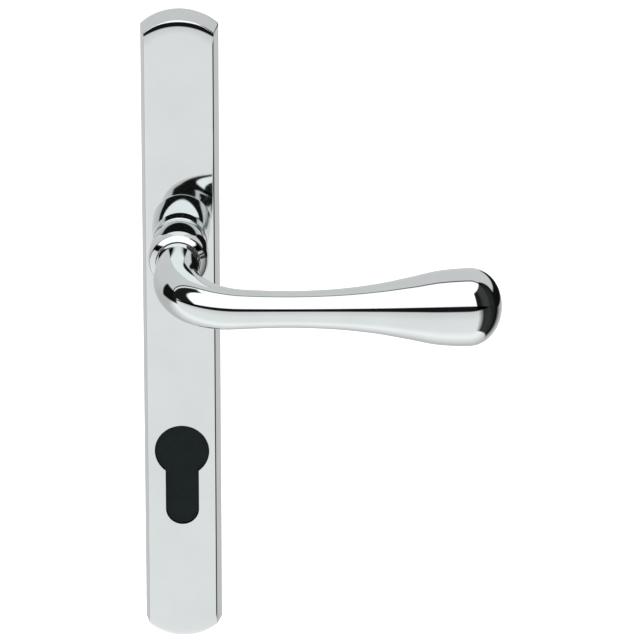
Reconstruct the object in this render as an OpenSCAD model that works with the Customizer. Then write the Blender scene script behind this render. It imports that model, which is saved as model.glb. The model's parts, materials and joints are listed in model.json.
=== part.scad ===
// Lever door handle on a long narrow backplate with a euro profile opening.
// Every part is drawn flat on the bench: X across the plate, Y up the plate, Z out
// of the door. upright() then stands it up, so the door face is the plane Y = 0 and
// the square spindle lies on the Y axis.

/* [Backplate] */
// Length of the backplate
plate_length = 213; // [206:1:225]
// Width of the backplate where it meets the door
plate_width = 24.5; // [24.5:0.5:28]
// How far the face of the backplate stands off the door
plate_depth = 9; // [9:0.25:10]
// How far each end of the backplate bows out
end_bow = 4.9; // [3:0.1:6]
// Distance from the spindle to the top end of the backplate
spindle_to_top = 74.6; // [74:0.1:80]
// How far the bevelled sides lean in
side_bevel = 1.4; // [1:0.1:1.6]
// Radius of the edge round the face
face_edge_radius = 0.8; // [0.5:0.1:1.2]
// Thickness of the metal shell
shell = 1.5; // [1.2:0.1:1.6]

/* [Cylinder opening] */
// Distance from the spindle to the round part of the euro profile
cylinder_centres = 72; // [70:1:85]
// Diameter of the round part
profile_diameter = 17.4; // [17.2:0.1:17.8]
// Width of the narrow part
profile_width = 10.6; // [10.2:0.1:11]
// Overall height
profile_height = 34.2; // [33.2:0.1:34.5]
// How far the blank sits below the face
blank_recess = 0.6; // [0.4:0.1:1.4]

/* [Lever] */
// Distance from the spindle axis to the tip of the grip
lever_length = 101; // [94:0.1:110]
// Height of the grip's centre line above the door
lever_reach = 59; // [58:0.5:70]
// Radius of the elbow, on the centre line
elbow_radius = 19.5; // [18:0.5:20]
// Diameter of the neck outside the collar
neck_diameter = 13.8; // [13.4:0.1:14]
// How far the tip leans back towards the door
grip_lean = 3.8; // [0:0.1:6]
// How far the grip drops below the spindle axis
grip_drop = 3; // [0:0.1:4]
// Length of the rounded tip
tip_length = 10; // [8:0.1:12]

/* [Collar] */
// Diameter of the ring that stands on the plate
collar_diameter = 17.4; // [17.4:0.1:18]
// Diameter over the bead at the front
rim_diameter = 18.8; // [18.2:0.1:20]
// How far the collar stands off the plate
collar_height = 19.2; // [18:0.1:20]

/* [Spindle and fixings] */
// Side of the square spindle
spindle_size = 8; // [8:0.1:8.1]
// How far the spindle reaches into the door
spindle_reach = 62; // [40:1:90]
// Distance between the two threaded pillars
pillar_centres = 180; // [176:1:182]
// How far the pillars reach into the door
pillar_reach = 8; // [4:1:14]
// Turn of the lever each way before the stops
lever_swing = 45; // [30:1:45]

/* [Hidden] */
$fn = 96;
cut = 0.5;                       // how far a cutter runs past the face it opens

// Backplate
plate_top = spindle_to_top;
plate_bottom = spindle_to_top - plate_length;
plate_middle = (plate_top + plate_bottom) / 2;
plate_land = 1.2;                // straight foot below the bevel
edge_steps = 5;                  // flats that make the rounded edge
end_radius = (pow(plate_width / 2, 2) + pow(end_bow, 2)) / (2 * end_bow);
shell_inside = plate_depth - shell;
inner_bevel = 1.2;
inner_edge_radius = 0.4;

// Base plate, the plastic carrier behind the shell
base_clearance = 0.15;
base_back = 0.9;
web_top = 5.8;
web_thickness = 1.6;
web_back = web_top - web_thickness;
base_wall = 1.3;
rib_thickness = 1.2;
base_width = 19.4;
rib_places = [68.5, 46, 30, -20, -32, -53, -132];
gasket_thickness = 0.8;

// Stack on the neck, counted from the door
neck_tail = 0.6;
clip_thickness = 1;
clip_back = 0.95;
clip_front = clip_back + clip_thickness;
shim_thickness = 0.3;
shim_front = clip_front + shim_thickness;
disc_height = 0.6;
disc_front = shim_front + disc_height;
flange_thickness = 1.5;
flange_front = disc_front + flange_thickness;
hub_front = 7.35;
journal_radius = 6.6;
running_gap = 0.05;
groove_radius = 6.15;
flat_distance = 6;               // half the width across the neck's flats
flat_gap = 0.05;
washer_inside = journal_radius + 0.15;
washer_outside = 8.1;

// Spring carrier
flange_radius = 8.3;
hub_radius = 7.4;
tab_reach = 10.2;
tab_width = 3.2;
pocket_radius = 8.9;
sector_radius = 10.6;
sector_half_width = 8.6;
pocket_top = flange_front + 0.1;
pin_radius = 0.9;
pin_circle = 9.4;
pin_angle = lever_swing + 15.8;  // the tab meets the pin just after the end of its travel
pin_back = disc_front - 0.2;
pin_front = web_top - 0.1;

// Collar
collar_bore = 7.6;
spigot_radius = 8.45;
spigot_back = 6;
ring_height = 2.6;
ring_round = 0.4;
swell = 1.3;                     // the waist is this much slimmer than the crest
crown_radius = 5.7;              // rounding in front of the crest
crown_turn = 24;
brow_radius = 0.8;
brow_turn = 60;                  // the cone of the nose leans this far to the front
nose_radius = 7.25;
lip_radius = 7.1;
lip_height = 1.1;
collar_front = plate_depth + collar_height;
lip_back = collar_front - lip_height;
nut_radius = 9.2;
nut_slots = 4;
bush_length = 3.6;
thrust_thickness = 0.6;
bush_front = lip_back - thrust_thickness;
bush_back = bush_front - bush_length;

// Return spring
wire = 0.8;
coil_radius = 7.1;
coil_back = hub_front + 0.15;
coil_turns = 8.5;
coil_front = bush_back - 0.25;
coil_pitch = (coil_front - coil_back - wire) / coil_turns;
wire_sides = 8;
turn_steps = 20;
rear_tang = 1.3;
front_tang = 1.6;
tang_steps = 3;
tang_slot = wire + 0.2;

// Lever
neck_radius = neck_diameter / 2;
shoulder = lip_back + 0.05;
grip_start = lever_reach - elbow_radius;
elbow_run = elbow_radius * PI / 2;
elbow_start = elbow_radius - elbow_run;
root = elbow_start - 9;          // where the turned neck runs into the grip
neck_top = grip_start - 9.8;
grip_sides = 36;
root_steps = 5;
elbow_steps = 14;
grip_steps = 34;
tip_steps = 12;
tip_start = lever_length - tip_length;
drop_end = 26;                   // the grip's centre line is level from here to the tip
// Stations of the grip: distance along it, measured from the spindle axis at the tip
// end and run back round the elbow, and radius
grip = [
    [root, neck_radius],
    [-8, 7.35],
    [3, 7.5],
    [13, 6.8],
    [22, 6.1],
    [36, 5.75],
    [50, 6.3],
    [62, 7.7],
    [72, 9.6],
    [81, 11.45],
    [tip_start, 12.1]
];

// Spindle and fixings
bore_gap = 0.05;
square_bore = spindle_size + 2 * bore_gap;
spindle_end = 36.5;
bore_end = 37.5;
grub_height = 32;
grub_radius = 2.5;
grub_key = 2.5;
pillar_radius = 4;
pillar_thread = 2.1;             // M5 tapping size
pillar_depth = 12;
pillar_head = 11;                // across flats
pillar_head_height = 1.4;
pillar_nut = 11;                 // across flats
pillar_nut_height = 2.4;
pillar_places = [plate_middle + pillar_centres / 2, plate_middle - pillar_centres / 2];
screw_places = [plate_top - 37, 20, -42, plate_bottom + 31];
screw_radius = 1.45;
screw_head_radius = 2.6;
screw_head_height = 1.3;
screw_back = 1.2;
screw_front = 7.9;
post_radius = 2.9;

// Cylinder blank
profile_gap = 0.1;
blank_back = 1.2;
blank_front = plate_depth - blank_recess;
guide_wall = 1.2;

module upright() rotate([90, 0, 0]) children();

// Edge of a plate: straight foot, leaning side and a rounded corner into the face
function plate_edge(outside, lean, height, radius) =
    let (slope = norm([lean, height - plate_land]),
        out = (height - plate_land) / slope,
        up = lean / slope,
        centre = outside - (radius + up * (height - radius - plate_land)) / out,
        first = atan2(up, out))
    concat([[outside, 0], [outside, plate_land]],
        [for (i = [0 : edge_steps])
            let (a = first + (90 - first) * i / edge_steps)
            [centre + radius * cos(a), height - radius + radius * sin(a)]]);

// Narrow plate with bevelled sides and bowed ends, grown or shrunk all round by inset
module plate_form(inset, lean, height, radius) {
    sides = plate_edge(plate_width / 2 - inset, lean, height, radius);
    mirrored = [for (i = [len(sides) - 1 : -1 : 0]) [-sides[i][0], sides[i][1]]];
    ends = plate_edge(end_radius - inset, lean, height, radius);
    intersection() {
        translate([0, plate_top, 0])
            rotate([90, 0, 0])
                linear_extrude(plate_length)
                    polygon(concat(sides, mirrored));
        union() {
            for (y = [plate_top - end_radius, plate_bottom + end_radius])
                translate([0, y, 0])
                    rotate_extrude()
                        polygon(concat([[0, 0]], ends, [[0, height]]));
            translate([-end_radius, plate_bottom + end_radius, 0])
                cube([2 * end_radius, plate_length - 2 * end_radius, height]);
        }
    }
}

// Outline of the euro profile opening, grown all round by extra
module euro_profile(extra = 0) {
    translate([0, -cylinder_centres]) {
        circle(d = profile_diameter + 2 * extra);
        low = profile_height - (profile_diameter + profile_width) / 2;
        translate([-profile_width / 2 - extra, -low])
            square([profile_width + 2 * extra, low]);
        translate([0, -low])
            circle(d = profile_width + 2 * extra);
    }
}

module ring(inside, outside, height) {
    difference() {
        cylinder(r = outside, h = height);
        translate([0, 0, -cut])
            cylinder(r = inside, h = height + 2 * cut);
    }
}

module hexagon(across, height) cylinder(d = across / cos(30), h = height, $fn = 6);

module at_pillars() for (y = pillar_places) translate([0, y, 0]) children();

module at_screws() for (y = screw_places) translate([0, y, 0]) children();

// Pressed metal shell with four screw posts inside
module cover_plate() {
    color("gainsboro")
        upright()
            difference() {
                union() {
                    difference() {
                        plate_form(0, side_bevel, plate_depth, face_edge_radius);
                        translate([0, 0, -cut])
                            plate_form(shell, inner_bevel, shell_inside + cut,
                                inner_edge_radius);
                    }
                    at_screws()
                        translate([0, 0, web_top])
                            cylinder(r = post_radius, h = plate_depth - shell / 2 - web_top);
                }
                at_screws()
                    translate([0, 0, web_top - cut])
                        cylinder(r = screw_radius, h = screw_front + 0.1 - web_top + cut);
                translate([0, 0, shell_inside - cut])
                    cylinder(r = spigot_radius, h = shell + 2 * cut);
                translate([0, 0, shell_inside - cut])
                    linear_extrude(shell + 2 * cut)
                        euro_profile();
            }
}

// Part of a circle, from one angle to another
function arc(centre, radius, start, end, steps) =
    [for (i = [0 : steps])
        let (a = start + (end - start) * i / steps)
        centre + radius * [cos(a), sin(a)]];

// Turned collar: a ring on the plate, a long swell from a slim waist to the crest, and
// a conical nose
module neck_collar() {
    ring_radius = collar_diameter / 2;
    ring_front = plate_depth + ring_height;
    crest = rim_diameter / 2;
    brow = [crest - crown_radius + (crown_radius - brow_radius) * cos(crown_turn),
        (crown_radius - brow_radius) * sin(crown_turn)];
    brow_end = brow + brow_radius * [cos(brow_turn), sin(brow_turn)];
    crest_front = collar_front - brow_end[1]
        - (brow_end[0] - nose_radius) / tan(brow_turn);
    color("gainsboro")
        upright()
            rotate_extrude()
                polygon(concat(
                    [[collar_bore, spigot_back], [spigot_radius, spigot_back],
                        [spigot_radius, plate_depth], [ring_radius, plate_depth]],
                    arc([ring_radius - ring_round, ring_front - ring_round], ring_round, 0, 90, 3),
                    [for (i = [0 : 7])
                        let (t = i / 8)
                        [crest - swell * pow(1 - t, 3),
                            ring_front + (crest_front - ring_front) * t]],
                    arc([crest - crown_radius, crest_front], crown_radius, 0, crown_turn, 3),
                    arc([brow[0], crest_front + brow[1]], brow_radius,
                        crown_turn + 12, brow_turn, 2),
                    [[nose_radius, collar_front], [lip_radius, collar_front],
                        [lip_radius, lip_back], [collar_bore, lip_back]]));
}

// Slotted ring nut that clamps the collar to the shell from behind
module collar_nut() {
    color("silver")
        upright()
            translate([0, 0, spigot_back])
                difference() {
                    ring(spigot_radius, nut_radius, shell_inside - spigot_back);
                    for (i = [0 : nut_slots - 1])
                        rotate(45 + i * 360 / nut_slots)
                            translate([spigot_radius + 0.25, -0.8, -cut])
                                cube([2, 1.6, cut + 0.7]);
                }
}

// Bearing bush pressed into the front of the collar, notched for the spring
module neck_bush() {
    color("darkgoldenrod")
        upright()
            difference() {
                translate([0, 0, bush_back])
                    ring(journal_radius + running_gap, collar_bore, bush_length);
                rotate(180 + coil_turns * 360)
                    translate([journal_radius - cut, -tang_slot / 2, bush_back - cut])
                        cube([3, tang_slot, cut + front_tang]);
            }
}

module thrust_washer() {
    color("ivory")
        upright()
            translate([0, 0, bush_front])
                ring(journal_radius + running_gap, collar_bore - 0.05, thrust_thickness);
}

// Space that the carrier and its tab sweep
module carrier_pocket() {
    translate([0, 0, -cut]) {
        cylinder(r = pocket_radius, h = pocket_top + cut);
        intersection() {
            cylinder(r = sector_radius, h = pocket_top + cut);
            translate([-sector_half_width, 1, 0])
                cube([2 * sector_half_width, sector_radius, pocket_top + cut]);
        }
    }
}

// Flat outline of the base, shrunk all round by inset
module base_outline(inset = 0) {
    bow = end_radius - shell - inner_bevel - base_clearance - inset;
    intersection() {
        translate([-base_width / 2 + inset, plate_bottom])
            square([base_width - 2 * inset, plate_length]);
        union() {
            for (y = [plate_top - end_radius, plate_bottom + end_radius])
                translate([0, y])
                    circle(r = bow);
            translate([-bow, plate_bottom + end_radius])
                square([2 * bow, plate_length - 2 * end_radius]);
        }
    }
}

// Cross ribs and the bosses round everything that passes through the base
module base_ribs() {
    for (y = rib_places)
        translate([-plate_width / 2, y - rib_thickness / 2])
            square([plate_width, rib_thickness]);
    circle(r = sector_radius + base_wall);
    for (y = pillar_places)
        translate([0, y])
            circle(r = pillar_nut / 2 + 2.2);
    for (y = screw_places)
        translate([0, y])
            circle(r = screw_head_radius + 1);
    euro_profile(guide_wall + profile_gap);
}

// Plastic base: a web with a rim, cross ribs, screw bosses and a cylinder guide
module base_plate() {
    color("dimgray")
        upright()
            difference() {
                union() {
                    translate([0, 0, web_back])
                        linear_extrude(web_thickness)
                            base_outline();
                    translate([0, 0, base_back])
                        linear_extrude(web_back - base_back)
                            difference() {
                                base_outline();
                                base_outline(base_wall);
                            }
                    translate([0, 0, base_back])
                        linear_extrude(web_back - base_back)
                            intersection() {
                                base_outline(base_wall / 2);
                                base_ribs();
                            }
                }
                carrier_pocket();
                cylinder(r = hub_radius + running_gap, h = plate_depth);
                for (side = [-1, 1])
                    rotate(side * pin_angle)
                        translate([0, pin_circle, 0])
                            cylinder(r = pin_radius, h = pin_front);
                linear_extrude(plate_depth)
                    euro_profile(profile_gap);
                at_pillars() {
                    cylinder(r = pillar_radius, h = plate_depth);
                    hexagon(pillar_nut + 0.3, web_back);
                }
                at_screws() {
                    cylinder(r = screw_radius + 0.15, h = plate_depth);
                    cylinder(r = screw_head_radius + 0.1, h = screw_back + screw_head_height);
                }
            }
}

// Foam gasket inside the rim of the shell
module gasket() {
    color("black")
        upright()
            difference() {
                intersection() {
                    plate_form(shell + 0.1, inner_bevel, shell_inside, inner_edge_radius);
                    translate([-plate_width, plate_bottom, 0])
                        cube([2 * plate_width, plate_length, gasket_thickness]);
                }
                translate([0, 0, -cut]) {
                    cylinder(r = pocket_radius + 0.2, h = plate_depth);
                    at_pillars()
                        cylinder(r = pillar_radius + 0.3, h = plate_depth);
                    linear_extrude(plate_depth)
                        euro_profile(0.5);
                }
            }
}

// Two flanged pillars, threaded inside to take the screws from the other side
module fixing_pillars() {
    color("silver")
        upright()
            at_pillars()
                difference() {
                    union() {
                        translate([0, 0, -pillar_reach])
                            cylinder(r = pillar_radius, h = pillar_reach + web_top);
                        translate([0, 0, web_top])
                            hexagon(pillar_head, pillar_head_height);
                    }
                    translate([0, 0, -pillar_reach - cut])
                        cylinder(r = pillar_thread, h = pillar_depth + cut);
                }
}

module pillar_nuts() {
    color("goldenrod")
        upright()
            at_pillars()
                translate([0, 0, web_back - pillar_nut_height])
                    difference() {
                        hexagon(pillar_nut, pillar_nut_height);
                        translate([0, 0, -cut])
                            cylinder(r = pillar_radius, h = pillar_nut_height + 2 * cut);
                    }
}

// Four pan head screws with a crossed recess, driven from behind
module base_screws() {
    color("darkgray")
        upright()
            at_screws()
                difference() {
                    union() {
                        translate([0, 0, screw_back])
                            cylinder(r = screw_head_radius, h = screw_head_height);
                        translate([0, 0, screw_back])
                            cylinder(r = screw_radius, h = screw_front - screw_back - 0.6);
                        translate([0, 0, screw_front - 0.6])
                            cylinder(r1 = screw_radius, r2 = 0.5, h = 0.6);
                    }
                    for (a = [0, 90])
                        rotate(a)
                            translate([-1.5, -0.3, screw_back - cut])
                                cube([3, 0.6, cut + 0.9]);
                }
}

module stop_pins() {
    color("silver")
        upright()
            for (side = [-1, 1])
                rotate(side * pin_angle)
                    translate([0, pin_circle, pin_back])
                        cylinder(r = pin_radius, h = pin_front - pin_back);
}

// Cubic through the stations of a table, level at both ends
function slope_at(table, i) =
    i == 0 || i == len(table) - 1 ? 0
    : (table[i + 1][1] - table[i - 1][1]) / (table[i + 1][0] - table[i - 1][0]);
function station(table, x, i = 0) =
    i < len(table) - 2 && x > table[i + 1][0] ? station(table, x, i + 1)
    : let (w = table[i + 1][0] - table[i][0],
        t = min(1, max(0, (x - table[i][0]) / w)))
        table[i][1] * (2 * pow(t, 3) - 3 * pow(t, 2) + 1)
        + table[i + 1][1] * (3 * pow(t, 2) - 2 * pow(t, 3))
        + w * slope_at(table, i) * (pow(t, 3) - 2 * pow(t, 2) + t)
        + w * slope_at(table, i + 1) * (pow(t, 3) - pow(t, 2));

// Radius of the grip, closing to a round tip
function grip_radius(x) =
    station(grip, x) * (x < tip_start ? 1
        : sqrt(max(0, 1 - pow((x - tip_start) / tip_length, 2))));

// Angle turned by the centre line: 0 straight out of the door, 90 along the grip
function turned(x) = min(90, max(0, (x - elbow_start) / elbow_radius * 180 / PI));

// How far the centre line has dropped at x, easing out
function dropped(x) =
    let (t = min(1, max(0, (x - root) / (drop_end - root))))
    grip_drop * (1 - pow(1 - t, 3) * (1 + 2.5 * t));

// One ring of the grip, square to its centre line
function grip_ring(x, scale = 1) =
    let (a = turned(x),
        radius = scale * grip_radius(x),
        centre = x < elbow_radius
            ? [elbow_radius * (1 - cos(a)),
                lever_reach - elbow_radius * (1 - sin(a)) + min(0, x - elbow_start)]
            : [x, lever_reach
                - grip_lean * pow((x - elbow_radius) / (lever_length - elbow_radius), 2)])
    [for (i = [0 : grip_sides - 1])
        let (t = i * 360 / grip_sides)
        [centre[0] + radius * cos(t) * cos(a), radius * sin(t) - dropped(x),
            centre[1] - radius * cos(t) * sin(a)]];

// Skin over a list of rings that all have the same number of points
module skin(rings) {
    sides = len(rings[0]);
    last = len(rings) - 1;
    walls = [for (j = [0 : last - 1], i = [0 : sides - 1])
        let (n = (i + 1) % sides)
        [j * sides + i, (j + 1) * sides + i, (j + 1) * sides + n, j * sides + n]];
    lid = [for (i = [0 : sides - 1]) i];
    end = [for (i = [sides - 1 : -1 : 0]) last * sides + i];
    polyhedron(points = [for (r = rings) each r], faces = concat([lid], walls, [end]));
}

// Solid lever: turned neck with flats and a clip groove, elbow, and a swelling grip
module lever() {
    places = concat(
        [for (i = [0 : root_steps - 1]) root + (elbow_start - root) * i / root_steps],
        [for (i = [0 : elbow_steps]) elbow_start + elbow_run * i / elbow_steps],
        [for (i = [1 : grip_steps]) elbow_radius + (tip_start - elbow_radius) * i / grip_steps],
        [for (i = [1 : tip_steps]) tip_start + tip_length * 0.999 * sin(90 * i / tip_steps)]);
    color("gainsboro")
        upright()
            difference() {
                union() {
                    skin(concat([grip_ring(root - 2, 0.97),
                        grip_ring(root - 1.4, 1 / cos(180 / grip_sides) + 0.002)],
                        [for (x = places) grip_ring(x)]));
                    translate([0, 0, shoulder])
                        cylinder(r = neck_radius, h = neck_top - shoulder);
                    translate([0, 0, neck_tail])
                        cylinder(r = journal_radius, h = shoulder - neck_tail);
                }
                translate([0, 0, clip_back])
                    ring(groove_radius, journal_radius + cut, clip_thickness);
                for (side = [-1, 1])
                    translate([side * (flat_distance + 1) - 1, -journal_radius - cut, 0])
                        cube([2, 2 * journal_radius + 2 * cut, hub_front]);
                translate([-square_bore / 2, -square_bore / 2, 0])
                    cube([square_bore, square_bore, bore_end]);
                translate([0, 0, grub_height])
                    rotate([90, 0, 0])
                        cylinder(r = grub_radius, h = neck_radius + 1);
            }
}

module spindle() {
    half = spindle_size / 2;
    chamfer = 0.5;
    color("darkgray")
        upright()
            intersection() {
                translate([-half, -half, -spindle_reach])
                    cube([spindle_size, spindle_size, spindle_reach + spindle_end]);
                rotate_extrude()
                    polygon([[0, -spindle_reach], [half * sqrt(2) - 2 * chamfer, -spindle_reach],
                        [half * sqrt(2), -spindle_reach + 2 * chamfer],
                        [half * sqrt(2), spindle_end - 2 * chamfer],
                        [half * sqrt(2) - 2 * chamfer, spindle_end], [0, spindle_end]]);
            }
}

// Socket set screw in the underside of the neck
module grub_screw() {
    color("dimgray")
        upright()
            translate([0, -spindle_size / 2, grub_height])
                rotate([90, 0, 0])
                    difference() {
                        cylinder(r = grub_radius, h = neck_radius - spindle_size / 2 - 0.25);
                        translate([0, 0, 1.1])
                            hexagon(grub_key, 3);
                    }
}

// Cast carrier keyed to the neck: it drives the spring and carries the stop tab
module spring_carrier() {
    color("gray")
        upright()
            difference() {
                union() {
                    translate([0, 0, disc_front])
                        cylinder(r = flange_radius, h = flange_thickness);
                    translate([-tab_width / 2, 0, disc_front])
                        cube([tab_width, tab_reach, flange_thickness]);
                    translate([0, 0, disc_front])
                        cylinder(r = hub_radius, h = hub_front - disc_front);
                }
                intersection() {
                    translate([0, 0, disc_front - cut])
                        cylinder(r = journal_radius + running_gap, h = plate_depth);
                    translate([-flat_distance - flat_gap, -plate_depth, 0])
                        cube([2 * (flat_distance + flat_gap), 2 * plate_depth, 2 * plate_depth]);
                }
                rotate(180)
                    translate([journal_radius - 2, -tang_slot / 2, hub_front - rear_tang])
                        cube([4, tang_slot, rear_tang + cut]);
            }
}

// Torsion spring between the carrier and the bush, with a tang at each end
module return_spring() {
    back = coil_back + wire / 2;
    rise = coil_turns * coil_pitch;
    coil_steps = floor(coil_turns * turn_steps);
    coil = [for (i = [0 : coil_steps])
        let (t = i / coil_steps)
        [180 + 360 * coil_turns * t, back + rise * t, 0]];
    rear = [for (i = [0 : tang_steps - 1])
        [180, back - (rear_tang + wire / 2 - 0.1) * (1 - i / tang_steps), 1]];
    front = [for (i = [1 : tang_steps])
        [180 + 360 * coil_turns, back + rise + (front_tang + 0.1) * i / tang_steps, 1]];
    stations = concat(rear, coil, front);
    color("slategray")
        upright()
            skin([for (p = stations)
                [for (k = [0 : wire_sides - 1])
                    let (w = 360 * k / wire_sides,
                        out = coil_radius + wire / 2 * cos(w),
                        side = wire / 2 * sin(w))
                    p[2] == 1
                        ? [out * cos(p[0]) + side * sin(p[0]), out * sin(p[0]) - side * cos(p[0]), p[1]]
                        : [out * cos(p[0]), out * sin(p[0]), p[1] + side]]]);
}

// Outline of an external retaining ring with two pierced lugs
module circlip() {
    lug = 8.1;
    gap = 24;                    // half angle of the gap between the lugs
    color("dimgray")
        upright()
            translate([0, 0, clip_back])
                difference() {
                    union() {
                        difference() {
                            translate([0, 0.5, 0])
                                cylinder(r = groove_radius + 1.5, h = clip_thickness);
                            linear_extrude(3 * clip_thickness, center = true)
                                polygon([[0, 0], 12 * [sin(gap), -cos(gap)],
                                    12 * [-sin(gap), -cos(gap)]]);
                        }
                        for (side = [-1, 1])
                            rotate(180 + side * (gap + 9))
                                translate([0, lug - 0.8, 0])
                                    cylinder(r = 1.4, h = clip_thickness);
                    }
                    translate([0, 0, -cut])
                        cylinder(r = groove_radius, h = clip_thickness + 2 * cut);
                    for (side = [-1, 1])
                        rotate(180 + side * (gap + 9))
                            translate([0, lug - 0.7, -cut])
                                cylinder(r = 0.6, h = clip_thickness + 2 * cut, $fn = 24);
                }
}

module shim_washer() {
    color("lightgray")
        upright()
            translate([0, 0, clip_front])
                ring(washer_inside, washer_outside, shim_thickness);
}

// Slightly coned spring washer that takes up the end play
module disc_spring() {
    sheet = 0.35;
    color("slategray")
        upright()
            rotate_extrude()
                polygon([[washer_inside, disc_front - sheet], [washer_outside, shim_front],
                    [washer_outside, shim_front + sheet], [washer_inside, disc_front]]);
}

// Push-out blank that fills the euro profile opening
module cylinder_blank() {
    color("darkslategray")
        upright()
            difference() {
                translate([0, 0, blank_back])
                    linear_extrude(blank_front - blank_back)
                        euro_profile(-profile_gap);
                translate([0, 0, blank_back - cut])
                    linear_extrude(cut + blank_front - blank_back - 2)
                        euro_profile(-profile_gap - 1.6);
            }
}

cover_plate();
neck_collar();
collar_nut();
neck_bush();
thrust_washer();
base_plate();
gasket();
fixing_pillars();
pillar_nuts();
base_screws();
stop_pins();
lever();
spindle();
grub_screw();
spring_carrier();
return_spring();
circlip();
shim_washer();
disc_spring();
cylinder_blank();
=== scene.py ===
"""Polished lever handle on a narrow backplate: fine meshes, finishes, studio and camera."""

import json
import math

import bmesh
import bpy
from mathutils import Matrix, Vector


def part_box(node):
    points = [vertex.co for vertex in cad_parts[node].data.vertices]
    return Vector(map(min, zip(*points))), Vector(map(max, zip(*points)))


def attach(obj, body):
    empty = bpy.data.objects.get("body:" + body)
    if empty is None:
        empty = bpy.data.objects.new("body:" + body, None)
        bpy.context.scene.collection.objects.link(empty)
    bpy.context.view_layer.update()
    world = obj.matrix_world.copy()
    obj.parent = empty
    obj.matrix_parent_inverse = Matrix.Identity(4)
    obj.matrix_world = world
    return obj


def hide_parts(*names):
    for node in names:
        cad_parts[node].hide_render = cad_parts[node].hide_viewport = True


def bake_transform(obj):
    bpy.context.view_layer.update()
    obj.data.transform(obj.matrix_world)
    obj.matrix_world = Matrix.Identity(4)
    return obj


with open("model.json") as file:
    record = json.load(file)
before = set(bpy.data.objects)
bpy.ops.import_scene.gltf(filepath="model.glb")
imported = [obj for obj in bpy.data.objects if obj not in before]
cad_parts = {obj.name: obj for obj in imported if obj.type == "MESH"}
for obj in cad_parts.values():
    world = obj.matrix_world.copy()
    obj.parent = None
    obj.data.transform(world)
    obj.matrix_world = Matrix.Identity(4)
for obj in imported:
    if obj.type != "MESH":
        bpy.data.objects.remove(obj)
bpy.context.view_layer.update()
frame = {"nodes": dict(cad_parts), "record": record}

# Shapes are built flat on a bench in millimetres, X across, Y up the plate and Z out of
# the door, and upright() stands them up in the frame.
MM = 0.001


def bench_box(node):
    """Lowest and highest corner of a CAD node, on the bench."""
    low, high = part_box(node)
    return (
        Vector((low.x, low.z, -high.y)) / MM,
        Vector((high.x, high.z, -low.y)) / MM,
    )


def upright(point):
    """A bench point in the frame, in metres."""
    x, y, z = point
    return Vector((x, -z, y)) * MM


# Driving dimensions, from the frame
plate_low, plate_high = bench_box("cover_plate")
collar_low, collar_high = bench_box("neck_collar")
lever_low, lever_high = bench_box("lever")
bush_low = bench_box("neck_bush")[0]
spring_low, spring_high = bench_box("return_spring")
carrier_high = bench_box("spring_carrier")[1]
blank_low, blank_high = bench_box("cylinder_blank")
grub_low, grub_high = bench_box("grub_screw")
screws_high = bench_box("base_screws")[1]
spindle_low, spindle_high = bench_box("spindle")

# Backplate; the leans, edges and rolls are those of its edge sections
END_RADIUS = 17.76
LAND = 1.2
SIDE_LEAN = 1.4
FACE_EDGE = 0.8
END_EDGE = 0.55
END_ROLL = 10
END_ROLL_ANGLE = 22.4
SHELL = 1.5
INNER_LEAN = 1.2
INNER_EDGE = 0.4
CORNER = 0.8
CORNER_LOSS = 0.3
CORNER_LEAST = 0.2
BROKEN_EDGE = 0.08
POSTS = (plate_high.y - 37, 20, -42, plate_low.y + 31)
POST_RADIUS = 2.9
POST_BORE = 1.45
POST_BACK = 5.8
POST_BORE_END = screws_high.z + 0.1

# Euro profile opening
PROFILE_GAP = 0.1
PROFILE_ROUND = (blank_high.x - blank_low.x) / 2 + PROFILE_GAP
PROFILE_SLOT = 5.3
PROFILE_TOP = blank_high.y + PROFILE_GAP
PROFILE_BOTTOM = blank_low.y - PROFILE_GAP
BLANK_WALL = 1.6
BLANK_FRONT = 2
BLANK_EDGE = 0.25

# Collar: radii, heights and, for the crown and the brow, how far each has turned in degrees
COLLAR_BORE = 7.6
SPIGOT = 8.45
RING = 8.7
RING_HEIGHT = 2.6
RING_ROUND = 0.4
SWELL = 1.3
CROWN, CROWN_TURN = 5.7, 24
BROW, BROW_TURN = 0.8, 60
NOSE = 7.25
LIP = 7.1
LIP_HEIGHT = 1.1

# Lever: its centre line stands LEVER_REACH out of the door, leans back by GRIP_LEAN toward
# the tip and drops by GRIP_DROP up to DROP_END
LEVER_REACH = 59
ELBOW_RADIUS = 19.5
GRIP_LEAN = 3.8
GRIP_DROP = 3
DROP_END = 26
DROP_EASE = 2.5
TIP_LENGTH = 10
TIP_REACHED = 0.99995
NECK = 6.9
SHOULDER_GAP = 0.05
SHOULDER_EDGE = 0.1
JOURNAL = 6.6
TAIL_EDGE = 0.25
GROOVE = 6.15
GROOVE_BACK, GROOVE_FRONT = 0.95, 1.95
FLAT = 6
FLAT_FRONT = 7.35
SQUARE_BORE = 8.1
BORE_END = 37.5
GRUB_RADIUS = 2.5
ELBOW_START = ELBOW_RADIUS - ELBOW_RADIUS * math.pi / 2
ROOT = ELBOW_START - 9
TIP_START = lever_high.x - TIP_LENGTH
# Stations of the grip: place and radius. The place is X past the elbow, and before that it
# runs on back along the centre line, round the elbow and down the neck
GRIP = [
    (ROOT, NECK),
    (-8, 7.35),
    (3, 7.5),
    (13, 6.8),
    (22, 6.1),
    (36, 5.75),
    (50, 6.3),
    (62, 7.7),
    (72, 9.6),
    (81, 11.45),
    (TIP_START, 12.1),
]

# Spindle
BAR_CORNER = 0.25
BAR_END_CORNER = 2.4
BAR_TURNED = 1

# Return spring
WIRE = 0.8
COIL_RADIUS = 7.1
COIL_TURNS = 8.5
COIL_BACK = carrier_high.z + 0.15
COIL_FRONT = bush_low.z - 0.25
BEND = 0.6
WIRE_END = 0.02

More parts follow.
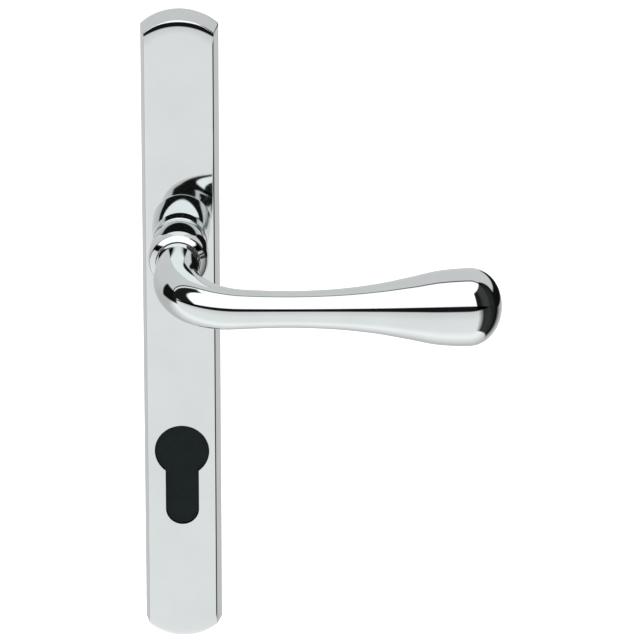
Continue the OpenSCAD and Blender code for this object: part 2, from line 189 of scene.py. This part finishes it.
# Meshes: what counts as one point, the angles from which an edge is shaded sharp and from
# which it is broken, how far a cutter reaches past what it cuts, and the sides of cylinders
MERGED = 0.0005
SHARP_ANGLE = 35
BROKEN_ANGLE = 50
PAST = 1
HOLE_SIDES = 128
POST_SIDES = 48
BORE_SIDES = 32


# Mesh helpers


def new_object(name, vertices, faces):
    """A mesh object from bench points, standing upright in the frame."""
    mesh = bpy.data.meshes.new(name)
    mesh.from_pydata([upright(v) for v in vertices], [], faces)
    shape = bpy.data.objects.new(name, mesh)
    bpy.context.scene.collection.objects.link(shape)
    clean(mesh)
    return shape


def clean(mesh):
    """Merges doubled points, drops faces without area and turns all faces outward."""
    work = bmesh.new()
    work.from_mesh(mesh)
    bmesh.ops.remove_doubles(work, verts=work.verts, dist=MERGED * MM)
    bmesh.ops.dissolve_degenerate(work, edges=work.edges, dist=MERGED * MM)
    bmesh.ops.recalc_face_normals(work, faces=work.faces)
    work.to_mesh(mesh)
    work.free()


def skin(name, rings):
    """Closed skin over rings of equal length."""
    sides, last = len(rings[0]), len(rings) - 1
    vertices = [p for ring in rings for p in ring]
    faces = [tuple(range(sides)), tuple(last * sides + i for i in range(sides))]
    for j in range(last):
        for i in range(sides):
            n = (i + 1) % sides
            faces.append(
                (j * sides + i, (j + 1) * sides + i, (j + 1) * sides + n, j * sides + n)
            )
    return new_object(name, vertices, faces)


def prism(name, outline, back, front):
    """Straight solid on an outline, between two heights."""
    return skin(name, [[(x, y, z) for x, y in outline] for z in (back, front)])


def around(sides):
    """Angles once round, evenly spaced."""
    return [2 * math.pi * i / sides for i in range(sides)]


def circle(radius, sides, centre=(0, 0)):
    x, y = centre
    return [(x + radius * math.cos(a), y + radius * math.sin(a)) for a in around(sides)]


def lathe(name, profile, sides=160):
    """Closed ring of revolution about the spindle axis, from (radius, height) points."""
    rings = [[(r * math.cos(a), r * math.sin(a), z) for r, z in profile] for a in around(sides)]
    count = len(profile)
    vertices = [p for ring in rings for p in ring]
    faces = []
    for j in range(sides):
        m = (j + 1) % sides
        for i in range(count):
            n = (i + 1) % count
            faces.append((j * count + i, m * count + i, m * count + n, j * count + n))
    return new_object(name, vertices, faces)


def combine(shape, tools, operation):
    """Adds or cuts the tools, exactly, and removes them."""
    for tool in tools:
        modifier = shape.modifiers.new(tool.name, "BOOLEAN")
        modifier.operation = operation
        modifier.solver = "EXACT"
        modifier.object = tool
    bake_modifiers(shape)
    for tool in tools:
        bpy.data.objects.remove(tool)


def bake_modifiers(shape):
    """Puts what the modifiers make in place of the mesh."""
    view = bpy.context.evaluated_depsgraph_get()
    baked = bpy.data.meshes.new_from_object(shape.evaluated_get(view))
    shape.modifiers.clear()
    shape.data = baked
    clean(baked)


def soften(shape, width=0.0):
    """Small rounded edges if a width is given, then smooth shading that keeps flat faces
    flat."""
    if width:
        bevel = shape.modifiers.new("edges", "BEVEL")
        bevel.width = width * MM
        bevel.segments = 2
        bevel.limit_method = "ANGLE"
        bevel.angle_limit = math.radians(BROKEN_ANGLE)
        bevel.use_clamp_overlap = True
        bake_modifiers(shape)
    shape.data.shade_smooth()
    shape.data.set_sharp_from_angle(angle=math.radians(SHARP_ANGLE))
    weighted = shape.modifiers.new("normals", "WEIGHTED_NORMAL")
    weighted.keep_sharp = True


def finish_piece(shape, node, body, slot):
    """Gives a piece the material of its slot and its body, and hides the CAD node it stands for.
    """
    shape.data.materials.clear()
    shape.data.materials.append(FINISHES[slot])
    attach(shape, body)
    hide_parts(node)


# Materials

# Detail of all noise, and the part of its range over which a finish goes from dark to light
NOISE_DETAIL = 4
CLOUD = (0.3, 0.7)


class Nodes:
    """Short calls for building a node tree."""

    def __init__(self, tree):
        self.tree = tree
        tree.nodes.clear()

    def add(self, kind):
        return self.tree.nodes.new(kind)

    def join(self, output, target):
        self.tree.links.new(output, target)

    def math(self, operation, first, second=0.0, third=0.0):
        """Result of an operation on sockets or numbers."""
        made = self.add("ShaderNodeMath")
        made.operation = operation
        for socket, value in zip(made.inputs, (first, second, third)):
            if isinstance(value, bpy.types.NodeSocket):
                self.join(value, socket)
            else:
                socket.default_value = value
        return made.outputs[0]

    def spread(self, value, low, high, start=0.0, end=1.0):
        """Maps value from start..end to low..high."""
        made = self.add("ShaderNodeMapRange")
        made.inputs["From Min"].default_value = start
        made.inputs["From Max"].default_value = end
        made.inputs["To Min"].default_value = low
        made.inputs["To Max"].default_value = high
        self.join(value, made.inputs["Value"])
        return made.outputs[0]

    def noise(self, scale):
        """Noise in the object's own metres; scale is in cells per metre."""
        place = self.add("ShaderNodeTexCoord")
        made = self.add("ShaderNodeTexNoise")
        made.inputs["Scale"].default_value = scale
        made.inputs["Detail"].default_value = NOISE_DETAIL
        self.join(place.outputs["Object"], made.inputs["Vector"])
        return made.outputs[0]


def finish(
    name,
    dark,
    light,
    rough,
    metallic=0.0,
    mottle=120,
    grain=1500,
    bump=0.1,
    depth=0.02,
    specular=0.5,
):
    """Principled finish: colour goes from dark to light and roughness over its range with a
    mottle, and a finer grain bumps it, depth millimetres deep."""
    material = bpy.data.materials.new(name)
    material.use_nodes = True
    nodes = Nodes(material.node_tree)
    output = nodes.add("ShaderNodeOutputMaterial")
    shader = nodes.add("ShaderNodeBsdfPrincipled")
    shader.inputs["Metallic"].default_value = metallic
    shader.inputs["Specular IOR Level"].default_value = specular
    cloud = nodes.noise(mottle)
    ramp = nodes.add("ShaderNodeValToRGB")
    for stop, position, colour in zip(ramp.color_ramp.elements, CLOUD, (dark, light)):
        stop.position = position
        stop.color = (*colour, 1)
    nodes.join(cloud, ramp.inputs[0])
    nodes.join(ramp.outputs[0], shader.inputs["Base Color"])
    nodes.join(nodes.spread(cloud, *rough, *CLOUD), shader.inputs["Roughness"])
    relief = nodes.add("ShaderNodeBump")
    relief.inputs["Strength"].default_value = bump
    relief.inputs["Distance"].default_value = depth * MM
    nodes.join(nodes.noise(grain), relief.inputs["Height"])
    nodes.join(relief.outputs[0], shader.inputs["Normal"])
    nodes.join(shader.outputs[0], output.inputs[0])
    return material


def grey(value, tint=(1, 1, 1)):
    """A grey of this value, slightly tinted where a tint is given."""
    return tuple(value * t for t in tint)


# Finishes by the name of their slot: dark and light colour, range of roughness, metallic
CHROME = (0.955, 1.0, 1.0)
FINISHES = {
    "polished_plate": finish(
        "polished_plate", grey(0.7, CHROME), grey(0.74, CHROME), (0.03, 0.05), 1.0,
        mottle=60, grain=220, bump=0.01, depth=0.01,
    ),
    "polished_lever": finish(
        "polished_lever", grey(0.7, CHROME), grey(0.74, CHROME), (0.03, 0.055), 1.0,
        mottle=60, grain=220, bump=0.01, depth=0.01,
    ),
    "zinc_steel": finish(
        "zinc_steel", grey(0.56), grey(0.63, (0.98, 1, 1.03)), (0.3, 0.36), 1.0, mottle=300,
        bump=0.05,
    ),
    "spring_steel": finish(
        "spring_steel", grey(0.22), grey(0.34, (0.97, 1, 1.04)), (0.3, 0.45), 1.0, mottle=500
    ),
    "black_steel": finish("black_steel", grey(0.03), grey(0.07), (0.35, 0.5), 1.0, mottle=500),
    "cast_zinc": finish(
        "cast_zinc", grey(0.36), grey(0.5), (0.45, 0.6), 1.0, mottle=250, grain=1200, bump=0.3,
        depth=0.05,
    ),
    "bearing_brass": finish(
        "bearing_brass", (0.56, 0.4, 0.15), (0.74, 0.55, 0.24), (0.22, 0.36), 1.0, mottle=300
    ),
    "black_nylon": finish(
        "black_nylon", grey(0.024), grey(0.032), (0.48, 0.56), mottle=200, grain=2600, bump=0.15,
        depth=0.02,
    ),
    "pale_nylon": finish(
        "pale_nylon", (0.74, 0.72, 0.66), (0.82, 0.8, 0.75), (0.4, 0.5), mottle=300
    ),
    "foam_rubber": finish(
        "foam_rubber", grey(0.018), grey(0.045), (0.85, 0.95), mottle=900, grain=2500, bump=0.8,
        depth=0.15,
    ),
    "charcoal_plastic": finish(
        "charcoal_plastic", (0.008, 0.012, 0.012), (0.011, 0.016, 0.016), (0.6, 0.7),
        mottle=400, grain=3000, bump=0.2, depth=0.02, specular=0.08,
    ),
}


# Backplate shell


class Edge:
    """Section of a plate's edge: straight foot, leaning side and a rounded corner, which
    may roll off gently over the last degrees to the face."""

    def __init__(self, lean, height, radius, roll=0.0, roll_angle=0.0):
        self.lean, self.height, self.radius = lean, height, radius
        self.roll, self.roll_angle = roll, roll_angle
        self.side = math.pi / 2 - math.atan2(lean, height - LAND)
        extra = (roll - radius) if roll else 0.0
        self.level = height - radius - extra * (1 - math.cos(roll_angle))
        self.bend = self.level + radius * math.cos(self.side)
        self.centre = self.slant(self.bend) + radius * math.sin(self.side)
        self.face = self.centre + extra * math.sin(roll_angle)

    def slant(self, z):
        """How far the leaning side has moved in at height z."""
        return self.lean * max(0, z - LAND) / (self.height - LAND)

    def inset(self, z):
        """How far the outline has moved in at height z."""
        rolled = self.height - self.roll * (1 - math.cos(self.roll_angle))
        if self.roll and z > rolled:
            rise = self.roll - (self.height - z)
            return self.face - math.sqrt(max(0, self.roll**2 - rise**2))
        if z > self.bend:
            return self.centre - math.sqrt(max(0, self.radius**2 - (z - self.level) ** 2))
        return self.slant(z)

    def levels(self, steps):
        """Heights from the foot to the face, close together where the edge turns."""
        turned = [self.side + (self.roll_angle - self.side) * i / steps for i in range(steps + 1)]
        heights = [0, LAND] + [self.level + self.radius * math.cos(b) for b in turned]
        if self.roll:
            for i in range(1, steps + 1):
                b = self.roll_angle * (1 - i / steps)
                heights.append(self.height - self.roll * (1 - math.cos(b)))
        return heights


def plate_outline(inset, end_inset, corner, arc_steps=64, corner_steps=8):
    """Bowed ends and straight sides, each pulled in by its inset, with rounded corners."""
    half = (plate_high.x - plate_low.x) / 2 - inset
    bow = END_RADIUS - end_inset
    rise = math.sqrt((bow - corner) ** 2 - (half - corner) ** 2)
    tilt = math.atan2(rise, half - corner)
    top = []
    for i in range(corner_steps):
        a = tilt * i / corner_steps
        top.append((half - corner + corner * math.cos(a), rise + corner * math.sin(a)))
    for i in range(arc_steps + 1):
        a = tilt + (math.pi - 2 * tilt) * i / arc_steps
        top.append((bow * math.cos(a), bow * math.sin(a)))
    for i in range(corner_steps):
        a = math.pi - tilt + tilt * (i + 1) / corner_steps
        top.append((corner - half + corner * math.cos(a), rise + corner * math.sin(a)))
    high, low = plate_high.y - END_RADIUS, plate_low.y + END_RADIUS
    return [(x, high + y) for x, y in top] + [(-x, low - y) for x, y in top]


def plate_solid(name, inset, sides, ends, steps, back=0.0):
    """Plate with its own edge section along the sides and round the ends, and its foot at
    back."""
    rings = []
    for z in ends.levels(steps):
        aside, along = inset + sides.inset(z), inset + ends.inset(z)
        corner = max(CORNER - CORNER_LOSS * aside, CORNER_LEAST)
        rings.append([(x, y, z or back) for x, y in plate_outline(aside, along, corner)])
    return skin(name, rings)


def euro_outline(extra=0.0, steps=64):
    """Outline of the opening, grown all round by extra."""
    round_radius, slot = PROFILE_ROUND + extra, PROFILE_SLOT + extra
    centre = PROFILE_TOP - PROFILE_ROUND
    low = PROFILE_BOTTOM + PROFILE_SLOT
    start = -math.acos(slot / round_radius)
    points = []
    for i in range(steps + 1):
        a = start + (math.pi - 2 * start) * i / steps
        points.append((round_radius * math.cos(a), centre + round_radius * math.sin(a)))
    for i in range(steps // 2 + 1):
        a = math.pi + math.pi * i / (steps // 2)
        points.append((slot * math.cos(a), low + slot * math.sin(a)))
    return points


def make_cover():
    """Hollow shell with four screw posts inside, the collar's hole and the opening."""
    height = plate_high.z
    sides = Edge(SIDE_LEAN, height, FACE_EDGE)
    ends = Edge(SIDE_LEAN, height, END_EDGE, END_ROLL, math.radians(END_ROLL_ANGLE))
    cover = plate_solid("cover_shell", 0, sides, ends, steps=14)
    inner = Edge(INNER_LEAN, height - SHELL, INNER_EDGE)
    cavity = plate_solid("cavity", SHELL, inner, inner, steps=4, back=-PAST)
    combine(cover, [cavity], "DIFFERENCE")
    posts = [
        prism("post", circle(POST_RADIUS, POST_SIDES, (0, y)), POST_BACK, height - SHELL / 2)
        for y in POSTS
    ]
    combine(cover, posts, "UNION")
    bores = [
        prism("bore", circle(POST_BORE, BORE_SIDES, (0, y)), POST_BACK - PAST, POST_BORE_END)
        for y in POSTS
    ]
    combine(cover, bores, "DIFFERENCE")
    back, front = height - 2 * SHELL, height + PAST
    collar_hole = prism("collar_hole", circle(SPIGOT, HOLE_SIDES), back, front)
    opening = prism("opening", euro_outline(), back, front)
    combine(cover, [collar_hole, opening], "DIFFERENCE")
    soften(cover, BROKEN_EDGE)
    finish_piece(cover, "cover_plate", "backplate", "polished_plate")


def make_blank(edge_steps=4):
    """Blank in the opening's shape, with a rounded edge to its face and hollow behind."""
    back, front = blank_low.z, blank_high.z
    rings = [[(x, y, back) for x, y in euro_outline(-PROFILE_GAP)]]
    for i in range(edge_steps + 1):
        a = math.pi / 2 * i / edge_steps
        inset = BLANK_EDGE * (1 - math.cos(a))
        z = front - BLANK_EDGE + BLANK_EDGE * math.sin(a)
        rings.append([(x, y, z) for x, y in euro_outline(-PROFILE_GAP - inset)])
    blank = skin("blank_body", rings)
    inside = euro_outline(-PROFILE_GAP - BLANK_WALL)
    hollow = prism("hollow", inside, back - PAST, front - BLANK_FRONT)
    combine(blank, [hollow], "DIFFERENCE")
    soften(blank)
    finish_piece(blank, "cylinder_blank", "blank", "charcoal_plastic")


def arc(centre, radius, start, end, steps):
    """Points of an arc between two angles in degrees."""
    x, y = centre
    angles = [math.radians(start + (end - start) * i / steps) for i in range(steps + 1)]
    return [(x + radius * math.cos(a), y + radius * math.sin(a)) for a in angles]


def make_collar(swell_steps=48):
    """Turned collar: ring, waist swelling to a crest, crown, brow, conical nose and lip."""
    base, front = plate_high.z, collar_high.z
    crown_turn, brow_turn = math.radians(CROWN_TURN), math.radians(BROW_TURN)
    ring_front = base + RING_HEIGHT
    crest = collar_high.x
    brow_x = crest - CROWN + (CROWN - BROW) * math.cos(crown_turn)
    brow_z = (CROWN - BROW) * math.sin(crown_turn)
    end_x = brow_x + BROW * math.cos(brow_turn)
    end_z = brow_z + BROW * math.sin(brow_turn)
    crest_front = front - end_z - (end_x - NOSE) / math.tan(brow_turn)
    rise = crest_front - ring_front
    swell = [
        (crest - SWELL * (1 - i / swell_steps) ** 3, ring_front + rise * i / swell_steps)
        for i in range(swell_steps)
    ]
    profile = [
        (COLLAR_BORE, collar_low.z),
        (SPIGOT, collar_low.z),
        (SPIGOT, base),
        (RING, base),
        *arc((RING - RING_ROUND, ring_front - RING_ROUND), RING_ROUND, 0, 90, 8),
        *swell,
        *arc((crest - CROWN, crest_front), CROWN, 0, CROWN_TURN, 16),
        *arc((brow_x, crest_front + brow_z), BROW, CROWN_TURN, BROW_TURN, 10)[1:],
        (NOSE, front),
        (LIP, front),
        (LIP, front - LIP_HEIGHT),
        (COLLAR_BORE, front - LIP_HEIGHT),
    ]
    collar = lathe("collar_body", profile)
    soften(collar)
    finish_piece(collar, "neck_collar", "backplate", "polished_plate")


# Lever


def station(x):
    """Radius of the grip at place x: cubics through its stations, level at both ends."""

    def slope(i):
        if i in (0, len(GRIP) - 1):
            return 0
        before, after = GRIP[i - 1], GRIP[i + 1]
        return (after[1] - before[1]) / (after[0] - before[0])

    i = 0
    while i < len(GRIP) - 2 and x > GRIP[i + 1][0]:
        i += 1
    (start, low), (end, high) = GRIP[i], GRIP[i + 1]
    width = end - start
    t = min(1, max(0, (x - start) / width))
    return (
        low * (2 * t**3 - 3 * t**2 + 1)
        + high * (3 * t**2 - 2 * t**3)
        + width * slope(i) * (t**3 - 2 * t**2 + t)
        + width * slope(i + 1) * (t**3 - t**2)
    )


def grip_ring(x, sides):
    """One ring of the grip, square to its centre line."""
    past = max(0, (x - TIP_START) / TIP_LENGTH)
    radius = station(x) * math.sqrt(max(0, 1 - past**2))
    a = min(math.pi / 2, max(0, (x - ELBOW_START) / ELBOW_RADIUS))
    t = min(1, max(0, (x - ROOT) / (DROP_END - ROOT)))
    drop = GRIP_DROP * (1 - (1 - t) ** 3 * (1 + DROP_EASE * t))
    if x < ELBOW_RADIUS:
        centre = (
            ELBOW_RADIUS * (1 - math.cos(a)),
            LEVER_REACH - ELBOW_RADIUS * (1 - math.sin(a)) + min(0, x - ELBOW_START),
        )
    else:
        along = (x - ELBOW_RADIUS) / (lever_high.x - ELBOW_RADIUS)
        centre = (x, LEVER_REACH - GRIP_LEAN * along**2)
    return [
        (
            centre[0] + radius * math.cos(w) * math.cos(a),
            radius * math.sin(w) - drop,
            min(centre[1] - radius * math.cos(w) * math.sin(a), lever_high.z),
        )
        for w in around(sides)
    ]


def grip_places(elbow_steps=72, grip_steps=110, tip_steps=40):
    """Places of the grip's rings: neck and elbow, grip, then the tip, closer and closer."""
    elbow, grip = ELBOW_RADIUS - ROOT, TIP_START - ELBOW_RADIUS
    places = [ROOT + elbow * i / elbow_steps for i in range(elbow_steps)]
    places += [ELBOW_RADIUS + grip * i / grip_steps for i in range(grip_steps + 1)]
    for i in range(1, tip_steps):
        places.append(TIP_START + TIP_LENGTH * math.sin(math.pi / 2 * i / tip_steps))
    return [*places, TIP_START + TIP_LENGTH * TIP_REACHED]


def make_lever(sides=128):
    """Journal with the circlip's groove and two flats, neck, elbow and round grip, with a
    square bore and a hole for the grub screw."""
    shoulder = collar_high.z - LIP_HEIGHT + SHOULDER_GAP
    tail = lever_low.z
    turned = [
        (JOURNAL - TAIL_EDGE, tail),
        (JOURNAL, tail + TAIL_EDGE),
        (JOURNAL, GROOVE_BACK),
        (GROOVE, GROOVE_BACK),
        (GROOVE, GROOVE_FRONT),
        (JOURNAL, GROOVE_FRONT),
        (JOURNAL, shoulder),
        (NECK - SHOULDER_EDGE, shoulder),
        (NECK, shoulder + SHOULDER_EDGE),
    ]
    rings = [[(x, y, z) for x, y in circle(r, sides)] for r, z in turned]
    rings += [grip_ring(x, sides) for x in grip_places()]
    lever = skin("lever_body", rings)
    half = SQUARE_BORE / 2
    square = [(-half, -half), (half, -half), (half, half), (-half, half)]
    tools = [prism("bore", square, tail - PAST, BORE_END)]
    reach = NECK + PAST
    for side in (-1, 1):
        near, far = side * FLAT, side * (FLAT + 2 * PAST)
        flat = [(near, -reach), (far, -reach), (far, reach), (near, reach)]
        tools.append(prism("flat", flat, tail - PAST, FLAT_FRONT))
    tools.append(grub_hole())
    combine(lever, tools, "DIFFERENCE")
    soften(lever)
    finish_piece(lever, "lever", "lever", "polished_lever")


def grub_hole():
    """Cylinder from the spindle axis down through the underside of the neck."""
    height = (grub_low.z + grub_high.z) / 2
    outline = circle(GRUB_RADIUS, POST_SIDES)
    return skin("grub_hole", [[(x, y, height + z) for x, z in outline] for y in (0, -NECK - PAST)])


def coil_point(turn, z):
    """Point on the coil's centre line."""
    return Vector((COIL_RADIUS * math.cos(turn), COIL_RADIUS * math.sin(turn), z))


def spring_line(turn_steps=72, bend_steps=6, tang_steps=3):
    """Centre line of the wire from back to front: tang, bend, turns, bend and tang."""
    back = COIL_BACK + WIRE / 2
    rise = COIL_FRONT - COIL_BACK - WIRE
    front = back + rise
    start, total = math.pi, 2 * math.pi * COIL_TURNS
    lead = BEND / COIL_RADIUS
    quarter = [math.pi / 2 * i / bend_steps for i in range(1, bend_steps)]

    tang = back - BEND - spring_low.z
    line = [coil_point(start, spring_low.z + WIRE_END)]
    for i in range(1, tang_steps + 1):
        line.append(coil_point(start, spring_low.z + tang * i / tang_steps))
    for a in quarter:
        turn = start + lead * (1 - math.cos(a))
        line.append(coil_point(turn, back - BEND + BEND * math.sin(a)))

    steps = int(COIL_TURNS * turn_steps)
    for i in range(steps + 1):
        turn = start + lead + (total - 2 * lead) * i / steps
        line.append(coil_point(turn, back + rise * i / steps))

    for a in quarter:
        turn = start + total - lead * (1 - math.sin(a))
        line.append(coil_point(turn, front + BEND * (1 - math.cos(a))))
    tang = spring_high.z - WIRE_END - front - BEND
    for i in range(tang_steps + 1):
        line.append(coil_point(start + total, front + BEND + tang * i / tang_steps))
    return line


def make_spring(sides=20):
    """Torsion spring wound round the neck, with a tang at each end. On the real handle its back
    end turns with the lever and its front end stays with the plate; here it is fixed, on neither
    body."""
    line = spring_line()
    rings = []
    for i, point in enumerate(line):
        ahead = (line[min(i + 1, len(line) - 1)] - line[max(i - 1, 0)]).normalized()
        out = Vector((point.x, point.y, 0)).normalized()
        side = ahead.cross(out).normalized()
        out = side.cross(ahead)
        rings.append(
            [point + WIRE / 2 * (out * math.cos(w) + side * math.sin(w)) for w in around(sides)]
        )
    spring = skin("spring_wire", rings)
    soften(spring)
    spring.data.materials.append(FINISHES["spring_steel"])
    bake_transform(spring)
    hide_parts("return_spring")


def rounded_square(half, corner, steps=6):
    """Outline of a square of this half width, with rounded corners."""
    points = []
    across = (half - corner) * math.sqrt(2)
    for quarter in range(4):
        a = math.pi / 2 * quarter
        x, y = across * math.cos(a + math.pi / 4), across * math.sin(a + math.pi / 4)
        for i in range(steps + 1):
            b = a + math.pi / 2 * i / steps
            points.append((x + corner * math.cos(b), y + corner * math.sin(b)))
    return points


def make_spindle():
    """Square bar with broken edges and its corners turned off at both ends."""
    low, high = spindle_low, spindle_high
    half = (high.x - low.x) / 2
    rings = [
        [(x, y, z) for x, y in rounded_square(half, corner)]
        for z, corner in (
            (low.z, BAR_END_CORNER),
            (low.z + BAR_TURNED, BAR_CORNER),
            (high.z - BAR_TURNED, BAR_CORNER),
            (high.z, BAR_END_CORNER),
        )
    ]
    bar = skin("spindle_bar", rings)
    soften(bar)
    finish_piece(bar, "spindle", "lever", "zinc_steel")


def finish_cad_nodes():
    """Gives the CAD nodes that stay on show the finish of their own slot."""
    for part in frame["record"]["subparts"]:
        node = frame["nodes"][part["node"]]
        if not node.hide_render:
            node.data.materials.clear()
            node.data.materials.append(FINISHES[part["material_slot"]])


make_cover()
make_blank()
make_collar()
make_lever()
make_spindle()
make_spring()
finish_cad_nodes()


# Studio

# Light round the handle by tilt: degrees from the front, over the top, and its strength
SKY = [
    (-180, 0.72), (-150, 0.6), (-125, 0.62), (-100, 0.95), (-78, 1.22), (-55, 1.02),
    (-22, 1.0), (6, 0.82), (8, 0.01), (22.5, 0.01), (24.5, 1.5), (101.5, 1.5), (103.5, 0.04),
    (106, 0.04), (108, 0.78), (180, 0.74),
]

# Dark flanks beyond the sheets: from and to in degrees aside, and in degrees of height. A
# third number says how softly the dark begins and ends
SOFT = 3
UPPER_RIGHT = ((42, 120), (9, 55))
LOWER_RIGHT = ((66, 123, 22), (-50, 9))
RIM_RIGHT = ((118, 168), (-14, 7))
NEAR_LEFT = ((-140, -43), (7, 68))
FAR_LEFT = ((-114, -84), (-10, 22))
# The near left one leans outward as the tilt grows, and ends at a tilt
NEAR_LEAN = 0.45
NEAR_TILT = (0, 98)
# A faint sheen in the right flanks, and how dark all of them are
SHEEN = (72, 104, 14)
SHEEN_STRENGTH = 0.03
FLANK_STRENGTH = 0.99


def sky_colour(nodes, tilt):
    """Colour of the light at a tilt."""
    ramp = nodes.add("ShaderNodeValToRGB")
    stops = ramp.color_ramp
    stops.interpolation = "LINEAR"
    while len(stops.elements) < len(SKY):
        stops.elements.new(0.5)
    for stop, (angle, value) in zip(stops.elements, SKY):
        stop.position = (angle + 180) / 360
        stop.color = (value, value, value, 1)
    nodes.join(nodes.spread(tilt, 0, 1, -math.pi, math.pi), ramp.inputs[0])
    return ramp.outputs[0]


def between(nodes, value, start, end, soft=SOFT):
    """1 where value lies between two angles in degrees, with soft ends."""
    rise = nodes.spread(value, 0, 1, math.radians(start - soft), math.radians(start))
    fall = nodes.spread(value, 1, 0, math.radians(end), math.radians(end + soft))
    return nodes.math("MULTIPLY", rise, fall)


def flank_light(nodes, tilt, aside, height):
    """Strength of the light: 1, and almost nothing inside the flanks."""

    def flank(across, up, side=aside):
        width, rise = between(nodes, side, *across), between(nodes, height, *up)
        return nodes.math("MULTIPLY", width, rise)

    right = nodes.math("MAXIMUM", flank(*UPPER_RIGHT), flank(*LOWER_RIGHT))
    right = nodes.math("MAXIMUM", right, flank(*RIM_RIGHT))
    sheen = nodes.math("MULTIPLY_ADD", between(nodes, aside, *SHEEN), -SHEEN_STRENGTH, 1.0)
    right = nodes.math("MULTIPLY", right, sheen)
    lean = nodes.math("MULTIPLY_ADD", tilt, NEAR_LEAN, aside)
    near = nodes.math("MULTIPLY", flank(*NEAR_LEFT, lean), between(nodes, tilt, *NEAR_TILT))
    left = nodes.math("MAXIMUM", near, flank(*FAR_LEFT))
    dark = nodes.math("MULTIPLY", nodes.math("MAXIMUM", right, left), FLANK_STRENGTH)
    return nodes.math("SUBTRACT", 1.0, dark)


def make_world():
    """Light painted by direction: white sheets in front and overhead with a dark slit
    between them, dark flanks, and pale grey behind and below; plain white to the camera."""
    world = bpy.data.worlds.new("studio")
    bpy.context.scene.world = world
    world.use_nodes = True
    nodes = Nodes(world.node_tree)
    place = nodes.add("ShaderNodeTexCoord")
    split = nodes.add("ShaderNodeSeparateXYZ")
    nodes.join(place.outputs["Generated"], split.inputs[0])
    x, y, z = split.outputs
    forward = nodes.math("MULTIPLY", y, -1.0)
    # Tilt goes round the X axis: 0 in front, 90 overhead, 180 behind, negative below
    tilt = nodes.math("ARCTAN2", z, forward)
    aside = nodes.math("ARCTAN2", x, forward)
    height = nodes.math("ARCSINE", z)
    light = nodes.add("ShaderNodeBackground")
    nodes.join(sky_colour(nodes, tilt), light.inputs["Color"])
    nodes.join(flank_light(nodes, tilt, aside, height), light.inputs["Strength"])
    plain = nodes.add("ShaderNodeBackground")
    plain.inputs["Color"].default_value = (1, 1, 1, 1)
    ray = nodes.add("ShaderNodeLightPath")
    mix = nodes.add("ShaderNodeMixShader")
    nodes.join(ray.outputs["Is Camera Ray"], mix.inputs[0])
    nodes.join(light.outputs[0], mix.inputs[1])
    nodes.join(plain.outputs[0], mix.inputs[2])
    output = nodes.add("ShaderNodeOutputWorld")
    nodes.join(mix.outputs[0], output.inputs[0])


# Floor, in metres
FLOOR_LEVEL = -0.25
FLOOR_SIDE = 2.2
FLOOR_FRONT, FLOOR_BACK = -1.4, 2.6


def make_floor():
    """Plain pale floor below the handle, which the polished faces do not reflect."""
    mesh = bpy.data.meshes.new("floor")
    corners = [
        (-FLOOR_SIDE, FLOOR_FRONT, FLOOR_LEVEL),
        (FLOOR_SIDE, FLOOR_FRONT, FLOOR_LEVEL),
        (FLOOR_SIDE, FLOOR_BACK, FLOOR_LEVEL),
        (-FLOOR_SIDE, FLOOR_BACK, FLOOR_LEVEL),
    ]
    mesh.from_pydata(corners, [], [(0, 1, 2, 3)])
    floor = bpy.data.objects.new("floor", mesh)
    bpy.context.scene.collection.objects.link(floor)
    mesh.materials.append(
        finish("floor", grey(0.84), grey(0.86), (0.8, 0.9), mottle=3, grain=300, bump=0.02)
    )
    floor.visible_glossy = False


# Lamp, in metres and watts
LAMP_PLACE = (0, 0.3, 2.0)
LAMP_TARGET = (0, 0.3, 0)
LAMP_SIZE = 2.5
LAMP_POWER = 60


def make_lamp():
    """Soft lamp above, seen neither directly nor in reflections."""
    data = bpy.data.lights.new("lamp_above", "AREA")
    data.shape = "SQUARE"
    data.size = LAMP_SIZE
    data.energy = LAMP_POWER
    lamp = bpy.data.objects.new("lamp_above", data)
    bpy.context.scene.collection.objects.link(lamp)
    lamp.location = LAMP_PLACE
    toward = Vector(LAMP_TARGET) - Vector(LAMP_PLACE)
    lamp.rotation_euler = toward.to_track_quat("-Z", "Y").to_euler()
    lamp.visible_glossy = False
    lamp.visible_camera = False


# Camera: degrees round and above the handle, metres away, and the millimetres by which it
# aims to the right of and above the plate's middle
AZIMUTH, ELEVATION = 0.8, 22
DISTANCE = 2.0
AIM_RIGHT, AIM_UP = 44.0, 1.3
SENSOR, LENS = 36, 353


def make_camera():
    """Camera aimed past the plate's middle, so that the lever is in the picture too."""
    data = bpy.data.cameras.new("camera")
    data.sensor_width = SENSOR
    data.lens = LENS
    data.clip_end = 50
    camera = bpy.data.objects.new("camera", data)
    bpy.context.scene.collection.objects.link(camera)
    bpy.context.scene.camera = camera
    azimuth, elevation = math.radians(AZIMUTH), math.radians(ELEVATION)
    back = Vector(
        (
            math.sin(azimuth) * math.cos(elevation),
            -math.cos(azimuth) * math.cos(elevation),
            math.sin(elevation),
        )
    )
    turn = (-back).to_track_quat("-Z", "Y")
    middle = Vector((0, 0, (plate_low.y + plate_high.y) / 2 * MM))
    aim = turn @ Vector((AIM_RIGHT * MM, AIM_UP * MM, 0))
    camera.rotation_mode = "QUATERNION"
    camera.rotation_quaternion = turn
    camera.location = middle + aim + back * DISTANCE


make_world()
make_floor()
make_lamp()
make_camera()
bpy.context.scene.view_settings.view_transform = "Standard"
